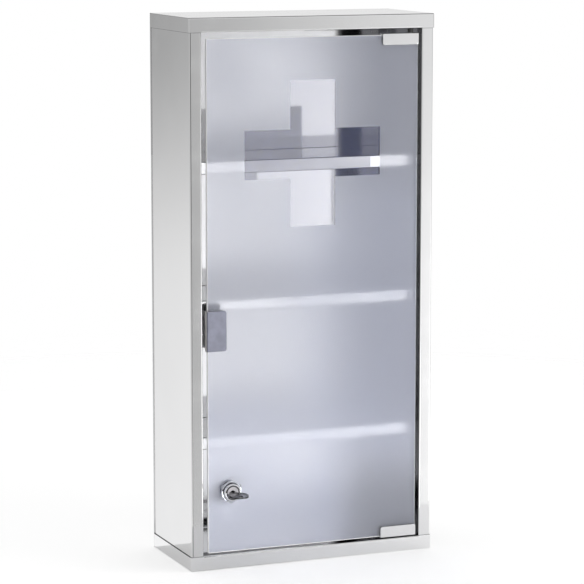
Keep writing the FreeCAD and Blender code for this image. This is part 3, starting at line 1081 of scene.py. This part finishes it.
@dataclass
class SubAssembly:
    """A group of pieces that are dressed together."""

    nodes: Dict[str, bpy.types.Object]

    def dress(self) -> Dressing:
        """Each carried-over piece's finish and edge rounding."""
        raise NotImplementedError

    def build(self) -> None:
        """Dresses the carried-over pieces and reports each."""
        for name, (finish, width) in self.dress().items():
            self.nodes[name].data.materials.clear()
            self.nodes[name].data.materials.append(finish.material())
            if width > 0.0:
                Piece.soften(self.nodes[name], width)
            log.info("%s: %s in %s", type(self).__name__, name, finish.name)
        self.details()

    def details(self) -> None:
        """Builds the pieces that stand for carried-over ones."""


@dataclass
class Case(SubAssembly):
    """Folded steel case with its shelves and pivot bushes."""

    fold_round: float = 0.12 * MM
    # A painted dark reflection along the top cap's upper fold, from here up to just below its edge.
    fold_shade_from: Pair = (303.0 * MM, 303.3 * MM)
    fold_shade_to: float = 303.85 * MM
    bush_round: float = 0.4 * MM

    def dress(self) -> Dressing:
        """Each carried-over piece's finish and edge rounding.

        Returns:
            Both by the piece's name.
        """
        # Painted dark reflection: a thin dark band along the top cap's upper fold, in the top cap's mark
        # colour.
        painted_fold_shade = Patch(1.0, z=(self.fold_shade_from, beyond(self.fold_shade_to, -1)))
        sheets = {
            "right_side_panel": SidePanelSteel("side_panel_steel"),
            "left_side_panel": SidePanelSteel("side_panel_steel"),
            "top_cap": SheetSteel("top_cap_steel", mark_colour=(0.30, 0.30, 0.305), patch=painted_fold_shade),
            "bottom_cap": BottomCapSteel("bottom_cap_steel"),
            "lower_shelf": ShelfSteel("shelf_steel"),
            "middle_shelf": ShelfSteel("shelf_steel"),
            "upper_shelf": ShelfSteel("shelf_steel"),
        }
        bush = Plastic("pivot_bush_black")
        made: Dressing = {name: (steel, self.fold_round) for name, steel in sheets.items()}
        made["back_panel"] = (BackSteel("back_panel_steel"), 0.0)
        made.update({name: (bush, self.bush_round) for name in ("upper_pivot_bush", "lower_pivot_bush")})
        return made


@dataclass
class PushCatch(SubAssembly):
    """Push catch on its bracket under the middle shelf."""

    centre: Pair = (-114.0 * MM, -33.0 * MM)
    screw_offset: float = 18.5 * MM
    screw: ScrewSize = ScrewSize(2.8 * MM, 1.5 * MM, -102.1 * MM, -109.1 * MM, -110.9 * MM)
    coil_radius: float = 4.4 * MM
    wire_radius: float = 0.35 * MM
    coil_span: Pair = (-90.0 * MM, -59.2 * MM)
    coil_turns: int = 13
    points_per_turn: int = 16
    black_from: float = -16.0 * MM

    def dress(self) -> Dressing:
        """Each carried-over piece's finish and edge rounding.

        Returns:
            Both by the piece's name.
        """
        black_end = Patch(1.0, z=(beyond(self.black_from, 1),))
        grey = Plastic("catch_grey", (0.45, 0.45, 0.46), worn=0.9, worn_lift=0.0, patch=black_end)
        return {
            "catch_bracket": (LinedSteel("polished_steel"), 0.15 * MM),
            "catch_housing": (grey, 0.5 * MM),
            "catch_plunger": (Plastic("catch_black"), 0.3 * MM),
            "catch_magnet": (Metal("magnet_nickel", (0.5, 0.5, 0.5), 0.3), 0.25 * MM),
        }

    def coil(self) -> bpy.types.Object:
        """Coil spring with two flat end turns.

        Returns:
            The piece.
        """
        start, end = (place + side * self.wire_radius for place, side in zip(self.coil_span, (1, -1)))
        count = self.coil_turns * self.points_per_turn
        curve = bpy.data.curves.new("coil_spring", "CURVE")
        curve.dimensions = "3D"
        curve.bevel_depth = self.wire_radius
        curve.bevel_resolution = 4
        curve.use_fill_caps = True
        line = curve.splines.new("NURBS")
        line.points.add(count)
        for i, point in enumerate(line.points):
            turn = 2.0 * math.pi * i / self.points_per_turn
            along = (i - self.points_per_turn) / (count - 2.0 * self.points_per_turn)
            place = start + (end - start) * min(1.0, max(0.0, along))
            across = self.centre[0] + self.coil_radius * math.cos(turn)
            point.co = (across, place, self.centre[1] + self.coil_radius * math.sin(turn), 1.0)
        line.order_u = 4
        line.use_endpoint_u = True
        rough = added("coil_curve", curve)
        mesh = settled(rough)
        bpy.data.objects.remove(rough)
        mesh.materials.clear()
        return added("coil_spring", mesh)

    def details(self) -> None:
        """Builds the pieces that stand for carried-over ones."""
        x, z = self.centre
        places = [(x, z + self.screw_offset), (x, z - self.screw_offset)]
        screws = Piece.cross_screw("catch_cross_screws", places, self.screw)
        Piece.fit(screws, "catch_screws", "cabinet", "zinc_plated", ZINC)
        Piece.fit(self.coil(), "catch_spring", "cabinet", "zinc_plated", ZINC)


@dataclass
class Door(SubAssembly):
    """Glass door with its hinge clips, pivot pins and push plate."""

    # Where the push plate's folded side face begins; that face is painted pale and less metallic as painted
    # light.
    plate_fold: float = -125.3 * MM

    def dress(self) -> Dressing:
        """Each carried-over piece's finish and edge rounding.

        Returns:
            Both by the piece's name.
        """
        low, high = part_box("glass_panel")
        clip = Metal("clip_chrome", (0.80, 0.80, 0.81), 0.12, spread=0.03, grain_height=0.002 * MM, worn=0.96)
        liner = Plastic("clear_liner", (0.7, 0.72, 0.75), 0.3, transmission=0.6)
        # Painted light: the side face is pale and less metallic in place of its dark reflection.
        painted_side_light = Patch(1.0, x=(beyond(self.plate_fold, -1),))
        plate = Metal(
            "push_plate_steel", (0.20, 0.205, 0.25), 0.42, (0.92, 0.90, 0.88), painted_side_light, mark_metallic=0.3
        )
        return {
            "glass_panel": (DoorGlass("satin_glass", low=tuple(low), high=tuple(high)), 0.0),
            "upper_hinge_clip": (clip, 0.4 * MM),
            "lower_hinge_clip": (clip, 0.4 * MM),
            "upper_hinge_liner": (liner, 0.0),
            "lower_hinge_liner": (liner, 0.0),
            "hinge_grub_screws": (ZINC, 0.15 * MM),
            "upper_pivot_pin": (ZINC, 0.3 * MM),
            "lower_pivot_pin": (ZINC, 0.3 * MM),
            "push_plate": (plate, 0.2 * MM),
            "push_plate_liner": (liner, 0.0),
        }


@dataclass
class CamLock(SubAssembly):
    """Cam lock through the glass, with its key."""

    collar_flats: float = 23.4 * MM
    collar_span: Pair = (-127.0 * MM, -123.5 * MM)
    collar_face: float = 11.3 * MM
    collar_shade: Pair = (8.0 * MM, 10.45 * MM)
    nut_flats: float = 22.0 * MM
    nut_span: Pair = (-118.5 * MM, -114.0 * MM)
    nut_face: float = 10.4 * MM
    nut_round: float = 0.12 * MM
    clearance: float = 0.1 * MM
    bore: float = 6.55 * MM
    barrel: float = 8.0 * MM
    head: float = 9.75 * MM
    head_front: float = -131.5 * MM
    head_round: float = 1.5 * MM
    round_steps: int = 6
    gap_rings: Tuple[Pair, ...] = ((6.45 * MM, 7.1 * MM), (7.5 * MM, 8.05 * MM))
    head_groove: Tuple[Pair, ...] = ((8.0, 0.12), (7.75, 0.9), (7.45, 0.9), (7.25, 0.25), (6.85, 0.25))
    bore_front: float = 0.7 * MM
    barrel_back: float = -113.3 * MM
    thread_pitch: float = 1.0 * MM
    thread_depth: float = 0.45 * MM
    plug: float = 6.45 * MM
    plug_front: float = -131.0 * MM
    plug_back: float = -111.8 * MM
    plug_rim: float = 1.05 * MM
    plug_round: float = 0.2 * MM
    dish_depth: float = 0.6 * MM
    dish_slope: float = 0.1 * MM
    keyhole_front: float = -130.25 * MM
    keyhole_depth: float = 1.8 * MM
    keyhole_ring: Pair = (-1.0 * MM, 5.2 * MM)
    keyhole: Tuple[Pair, ...] = (
        (4.1, 0.0), (2.9, 1.2), (1.3, 2.2), (0.0, 2.7), (-1.3, 2.2), (-2.9, 1.2),
        (-4.1, 0.0), (-2.6, -1.2), (0.0, -1.4), (2.6, -1.2),
    )
    tail: float = 7.0 * MM
    tail_back: float = -110.3 * MM
    slot: Pair = (7.8 * MM, 2.2 * MM)
    slot_back: float = -115.3 * MM
    screw: ScrewSize = ScrewSize(4.0 * MM, 1.9 * MM, -114.8 * MM, -110.2 * MM, -108.0 * MM)
    key_thick: float = 2.0 * MM
    key_core: float = 1.4 * MM
    key_round: float = 0.18 * MM
    blade_half: float = 3.8 * MM
    blade_front: float = -131.1 * MM
    blade_back: float = -115.4 * MM
    blade_tip: Pair = (1.8 * MM, 1.6 * MM)
    cuts: Tuple[float, ...] = (-127.6 * MM, -124.6 * MM, -121.6 * MM, -118.6 * MM)
    cut_depth: float = 0.8 * MM
    cut_flank: float = 0.9 * MM
    cut_floor: float = 0.3 * MM
    rib_half: float = 1.1 * MM
    neck_half: float = 4.5 * MM
    neck_front: float = -135.6 * MM
    shoulder_step: float = 0.4 * MM
    bow_half: float = 10.5 * MM
    bow_front: float = -160.6 * MM
    bow_shares: Tuple[Pair, ...] = ((0.43, 0.0), (0.98, 0.16), (1.04, 0.42), (1.0, 0.68), (0.62, 0.96))
    border_shares: Pair = (0.80, 0.84)
    ring_hole: float = 2.6 * MM
    ring_boss: float = 3.7 * MM
    ring_hole_place: float = -155.0 * MM

    def dress(self) -> Dressing:
        """Each carried-over piece's finish and edge rounding.

        Returns:
            Both by the piece's name.
        """
        washer = Plastic("washer_black")
        return {
            "lock_front_washer": (washer, 0.12 * MM),
            "lock_rear_washer": (washer, 0.12 * MM),
            "lock_wafers": (Metal("brass", (0.75, 0.58, 0.28), 0.25), 0.0),
            "lock_cam": (ZINC, 0.2 * MM),
        }

    def threaded(self) -> List[Pair]:
        """The threaded part of the barrel's profile.

        Returns:
            Its points as (radius, y), from the back to the head.
        """
        root = self.barrel - self.thread_depth
        points = []
        place = self.barrel_back
        while place - self.thread_pitch > self.collar_span[0]:
            points += [(root, place), (self.barrel, place - 0.5 * self.thread_pitch)]
            place -= self.thread_pitch
        return points + [(root, place), (root, self.collar_span[0])]

    def turned_barrel(self) -> bpy.types.Object:
        """Barrel with a rounded head, a groove and a lip round the plug, and a thread behind.

        Returns:
            The piece.
        """
        front, size = self.head_front, self.head_round
        crest = self.head - size
        rounds = [math.pi / 2.0 * i / self.round_steps for i in range(self.round_steps + 1)]
        edge = [(crest + size * math.cos(turn), front + size * (1.0 - math.sin(turn))) for turn in rounds]
        groove = [(radius * MM, front + depth * MM) for radius, depth in self.head_groove]
        bore = [(self.bore, front + self.bore_front), (self.bore, self.barrel_back)]
        profile = self.threaded() + [(self.head, self.collar_span[0])] + edge + groove + bore
        return Solid(Axis.DEPTH, LOCK_CENTRE).turned(profile, closed=True, segments=96).piece("turned_barrel")

    def slotted_plug(self) -> bpy.types.Object:
        """Plug with a rim, a dished face, a keyhole that leads to the slot, and a square tail.

        Returns:
            The piece.
        """
        dish = self.plug - self.plug_rim
        face = self.plug_front + self.dish_depth
        lead = face + self.keyhole_depth
        keyhole = [(x * MM, z * MM) for x, z in self.keyhole]
        rim = [
            (dish, face), (dish + self.dish_slope, self.plug_front),
            (self.plug - self.plug_round, self.plug_front), (self.plug, self.plug_front + self.plug_round),
            (self.plug, self.plug_back), (dish, self.plug_back),
        ]
        made = Solid(Axis.DEPTH, LOCK_CENTRE)
        made.turned(rim, closed=True)
        made.plate(circle(dish), (face, lead), [keyhole])
        made.plate(circle(dish), (lead, self.slot_back), [rectangle(*self.slot)])
        made.plate(circle(dish), (self.slot_back, self.plug_back))
        made.plate(rectangle(self.tail, self.tail), (self.plug_back, self.tail_back))
        return made.piece("slotted_plug")

    def blade_side(self, side: int) -> List[Pair]:
        """One side of the key's blade, from the neck to the tip.

        Args:
            side: 1 for the right side, -1 for the left.

        Returns:
            Its points as (x from the key's middle, y).
        """
        half, deep = self.blade_half, self.blade_half - self.cut_depth
        points = [(half, self.blade_front)]
        for place in self.cuts[1::2] if side > 0 else self.cuts[0::2]:
            points += [(half, place - self.cut_flank), (deep, place - self.cut_floor)]
            points += [(deep, place + self.cut_floor), (half, place + self.cut_flank)]
        points += [(half, self.blade_back - self.blade_tip[1]), (half - self.blade_tip[0], self.blade_back)]
        return [(side * x, y) for x, y in points]

    def cut_key(self) -> bpy.types.Object:
        """Key with a leaf-shaped bow, a raised border, a ring hole and cuts in its blade.

        Returns:
            The piece.
        """
        neck, blade = self.neck_front, self.blade_front
        length = neck - self.bow_front
        half = [(self.bow_half * across, neck - length * along) for across, along in self.bow_shares]
        leaf = smoothed(half + [(-across, y) for across, y in reversed(half)], 3)
        middle = neck - 0.5 * length
        border_x, border_y = self.border_shares
        inner = [(across * border_x, middle + (y - middle) * border_y) for across, y in leaf]
        flank = [(self.neck_half, neck - MM), (self.neck_half, blade)]
        shank = flank + self.blade_side(1) + self.blade_side(-1)[::-1]
        shank += [(-across, y) for across, y in reversed(flank)]
        ring = (0.0, self.ring_hole_place)
        ring_hole, boss = (circle(size, 40, ring) for size in (self.ring_hole, self.ring_boss))
        level, halves = LOCK_CENTRE[1], (self.key_thick / 2.0, self.key_core / 2.0)
        thick, core = ((level - size, level + size) for size in halves)
        made = Solid(Axis.UPRIGHT, (LOCK_CENTRE[0], 0.0))
        made.plate(leaf, core, [ring_hole])
        made.plate(leaf, thick, [inner])
        made.plate(boss, thick, [ring_hole])
        made.plate(shank, core)
        made.plate(between(self.rib_half, neck, self.blade_back - MM), thick)
        made.plate(between(self.neck_half - self.shoulder_step, neck, blade - self.shoulder_step), thick)
        return made.piece("cut_key", self.key_round)

    def details(self) -> None:
        """Builds the pieces that stand for carried-over ones."""
        chrome = LockMetal("lock_chrome", (0.80, 0.80, 0.83), 0.05, spread=0.03, rings=self.gap_rings)
        shade = (self.collar_shade,)
        collar_chrome = LockMetal("collar_chrome", (0.62, 0.64, 0.70), 0.09, spread=0.03, rings=shade)
        plug = LockMetal(
            "lock_plug_nickel", (0.72, 0.70, 0.73), 0.2, (0.015, 0.015, 0.016), metallic=0.5,
            mark_metallic=0.0, rings=(self.keyhole_ring,), soft=MARK_EDGE, behind=self.keyhole_front,
        )
        key = Metal("key_nickel", (0.12, 0.12, 0.13), 0.24, spread=0.06)
        hole = self.barrel + self.clearance
        collar = Solid(Axis.DEPTH, LOCK_CENTRE)
        collar.hexagon(self.collar_flats, hole, *self.collar_span, self.collar_face)
        ring = collar.piece("hex_collar", self.nut_round)
        Piece.fit(ring, "lock_collar", "door", "lock_chrome", collar_chrome)
        nut = Solid(Axis.DEPTH, LOCK_CENTRE)
        nut.hexagon(self.nut_flats, hole, *self.nut_span, self.nut_face)
        Piece.fit(nut.piece("hex_back_nut", self.nut_round), "lock_rear_nut", "door", "zinc_plated", ZINC)
        Piece.fit(self.turned_barrel(), "lock_barrel", "door", "lock_chrome", chrome)
        Piece.fit(self.slotted_plug(), "lock_plug", "lock", "lock_plug_nickel", plug)
        screw = Piece.cross_screw("cam_cross_screw", [LOCK_CENTRE], self.screw)
        Piece.fit(screw, "cam_screw", "lock", "zinc_plated", ZINC)
        Piece.fit(self.cut_key(), "key", "key", "key_nickel", key)


@dataclass(frozen=True)
class Lamp:
    """A soft lamp that leaves no mirror image of itself: square, or a spot where it has a cone."""

    name: str
    place: Place
    aim: Place
    size: float
    power: float
    cone: Optional[float] = None

    def build(self) -> None:
        """Places and aims the lamp."""
        data = bpy.data.lights.new(self.name, "AREA" if self.cone is None else "SPOT")
        data.energy = self.power
        if self.cone is None:
            data.size = self.size
        else:
            data.shadow_soft_size = self.size
            data.spot_size = math.radians(self.cone)
            data.spot_blend = 1.0
        thing = added(self.name, data)
        thing.visible_glossy = False
        thing.location = self.place
        thing.rotation_euler = (Vector(self.aim) - Vector(self.place)).to_track_quat("-Z", "Y").to_euler()


@dataclass(frozen=True)
class Floor:
    """Pale round floor that fades out to the white background."""

    level: float
    radius: float = 1.5
    segments: int = 96
    colour: Colour = (0.92, 0.92, 0.92)
    table_x: Pair = (-0.9, 0.9)
    table_y: Pair = (-0.325, 0.0)
    glow_in_view: float = 0.36
    glow_in_gloss: float = 0.05
    side_glow: float = 0.2
    side_steps: Tuple[Pair, ...] = ((-0.12, 0.2), (-0.15, -0.3))

    def surface(self, graph: Graph) -> Signal:
        """Builds the floor's surface: a table before the cabinet for mirrors, a disc for the camera.

        Args:
            graph: the material's graph.

        Returns:
            The surface.
        """
        place = graph.place()
        x, y, _ = graph.axes(place)
        along, deep = self.table_x, self.table_y
        on_table = (x > along[0]) * (x < along[1]) * (y > deep[0]) * (y < deep[1])
        camera, glossy, through, scattered = graph.rays(
            "Is Camera Ray", "Is Glossy Ray", "Is Transmission Ray", "Is Diffuse Ray"
        )
        right, left = (x.smooth(*step) for step in self.side_steps)
        mirrored = glossy * (self.glow_in_gloss + (right | left) * self.side_glow)
        lit = (through | scattered) * (1.0 - camera) * on_table
        shown = camera * self.glow_in_view + mirrored + lit
        paper = graph.node("ShaderNodeBsdfDiffuse", None, {"Color": self.colour})
        glow = graph.node("ShaderNodeEmission", None, {"Color": (1.0, 1.0, 1.0), "Strength": shown})
        glowing = graph.node("ShaderNodeAddShader", None, {0: paper, 1: glow})
        far = graph.vector("LENGTH", place).smooth(0.5 * self.radius, self.radius)
        away = (1.0 - on_table).towards(far, camera + scattered)
        return graph.mix_surfaces(away, glowing, graph.node("ShaderNodeBsdfTransparent"))

    def build(self) -> None:
        """Lays the floor."""
        mesh = bpy.data.meshes.new("studio_floor")
        shape = bmesh.new()
        bmesh.ops.create_circle(shape, cap_ends=True, radius=self.radius, segments=self.segments)
        shape.to_mesh(mesh)
        shape.free()
        thing = added("studio_floor", mesh)
        thing.location = (0.0, 0.0, self.level)
        material = bpy.data.materials.new("studio_floor")
        material.use_nodes = True
        graph = Graph(material.node_tree)
        graph.finish(self.surface(graph))
        mesh.materials.append(material)
        thing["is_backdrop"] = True


@dataclass(frozen=True)
class Surroundings:
    """World that is white to the camera, and to everything else a soft studio given by direction."""

    strength: float = 0.875
    front_turn: Pair = (0.15, -0.15)
    sweep: Pair = (-0.045, -0.16)
    wall_turn: Pair = (0.33, 0.435)
    wall_fade: Tuple[float, ...] = (0.8, 0.62, 0.3)
    wall_level: float = 0.42
    wall_sweep: float = 0.30
    front_level: float = 0.58
    front_patches: Tuple[Patch, ...] = (
        Patch(0.12, x=((0.435, 0.33),), z=((-0.15, -0.26),)),
        Patch(0.2, x=((0.43, 0.50), (0.75, 0.62))),
        Patch(4.4, x=((0.43, 0.50), (0.75, 0.62)), z=((-0.05, -0.24), (-0.7, -0.45))),
        Patch(0.15, x=((0.31, 0.22), (-0.08, 0.06))),
        Patch(5.0, x=((0.31, 0.22), (-0.08, 0.06)), z=((-0.07, -0.24), (-0.7, -0.45))),
        Patch(1.5, x=((-0.1, 0.1), (0.75, 0.62)), z=((0.14, 0.34),)),
        Patch(0.4, x=((-0.5, -0.58), (-0.85, -0.77)), z=((-0.3, -0.25), (0.2, 0.1))),
    )
    back_level: float = 0.46
    back_patches: Tuple[Patch, ...] = (
        Patch(0.56, z=((-0.045, -0.16),)),
        Patch(0.1, z=((-0.15, -0.25),)),
        Patch(0.1, x=((-0.328, -0.345),)),
    )
    back_right_turn: Pair = (-0.2, 0.2)
    back_right_level: float = 0.93
    above: Pair = (0.1, 0.5)
    dark_band: Patch = Patch(0.8, y=((0.4, 0.2),), z=((0.5, 0.6), (0.86, 0.76)))
    side_fade: Tuple[float, ...] = (0.92, 0.82, 0.45)
    side_turn: Pair = (-0.2, 0.3)

    def level(self, x: Signal, y: Signal, z: Signal) -> Signal:
        """How bright the studio is in one direction.

        Args:
            x: the direction's part to the right.
            y: its part to the back.
            z: its part upwards.

        Returns:
            The brightness.
        """
        wall = x.smooth(*self.wall_turn) * (self.wall_level + z.smooth(*self.sweep) * self.wall_sweep)
        front = self.front_level + wall * x.smooth(*self.wall_fade)
        front = sum((patch.at(x, y, z) for patch in self.front_patches), front)
        back = sum((patch.at(x, y, z) for patch in self.back_patches), self.back_level)
        back = back.towards(self.back_right_level, x.smooth(*self.back_right_turn))
        level = back.towards(front, y.smooth(*self.front_turn)).towards(1.0, z.smooth(*self.above))
        level = level * (1.0 - self.dark_band.at(x, y, z))
        return level * (x.smooth(*self.side_fade) | y.smooth(*self.side_turn))

    def build(self) -> None:
        """Sets the world."""
        world = bpy.data.worlds.new("studio")
        bpy.context.scene.world = world
        world.use_nodes = True
        graph = Graph(world.node_tree)
        direction = graph.vector("NORMALIZE", graph.place("Generated"))
        camera, through, mirrored, scattered = graph.rays(
            "Is Camera Ray", "Is Transmission Ray", "Glossy Depth", "Diffuse Depth"
        )
        plain = camera | (through * (mirrored + scattered < 0.5))
        strength = (self.level(*graph.axes(direction)) * self.strength).towards(1.0, plain)
        shine = graph.node("ShaderNodeBackground", None, {"Color": (1.0, 1.0, 1.0), "Strength": strength})
        graph.finish(shine, "ShaderNodeOutputWorld")


@dataclass(frozen=True)
class Viewpoint:
    """The photograph's camera."""

    place: Place = (-1.1162, -2.8042, 0.4398)
    yaw: float = 22.151
    pitch: float = -8.617
    focal_pixels: float = 2659.1
    frame_pixels: float = 584.0
    sensor: float = 36.0

    def build(self) -> None:
        """Places the camera."""
        data = bpy.data.cameras.new("camera")
        data.sensor_width = self.sensor
        data.lens = self.focal_pixels / self.frame_pixels * self.sensor
        thing = added("camera", data)
        thing.location = self.place
        thing.rotation_euler = (math.radians(90.0 + self.pitch), 0.0, -math.radians(self.yaw))
        bpy.context.scene.camera = thing


def studio(floor_level: float) -> None:
    """Sets the whole studio.

    Args:
        floor_level: how high the floor lies.
    """
    key_lamp = Lamp("key_lamp", (1.5, -1.45, -0.1), (0.0, -0.1, -0.15), size=0.9, power=14.0)
    spot_place, lock_side = (0.95, -0.56, -0.2), (-0.13, -0.124, -0.222)
    low_lamp = Lamp("low_lamp", spot_place, lock_side, size=0.09, power=150.0, cone=10.0)
    for item in (Floor(floor_level), Surroundings(), key_lamp, low_lamp, Viewpoint()):
        item.build()
    bpy.context.scene.view_settings.view_transform = "Standard"


def corners() -> List[List[float]]:
    """The object's lowest and highest corners as plain lists."""
    return [list(corner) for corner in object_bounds()]


def main() -> None:
    """Builds the sub-assemblies in order, then the studio."""
    logging.basicConfig(level=logging.INFO, format="%(name)s: %(message)s")
    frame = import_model()
    frame_box = corners()
    nodes = frame["nodes"]
    for kind in (Case, PushCatch, Door, CamLock):
        kind(nodes).build()
    studio(frame_box[0][2])


if __name__ == "__main__":
    main()
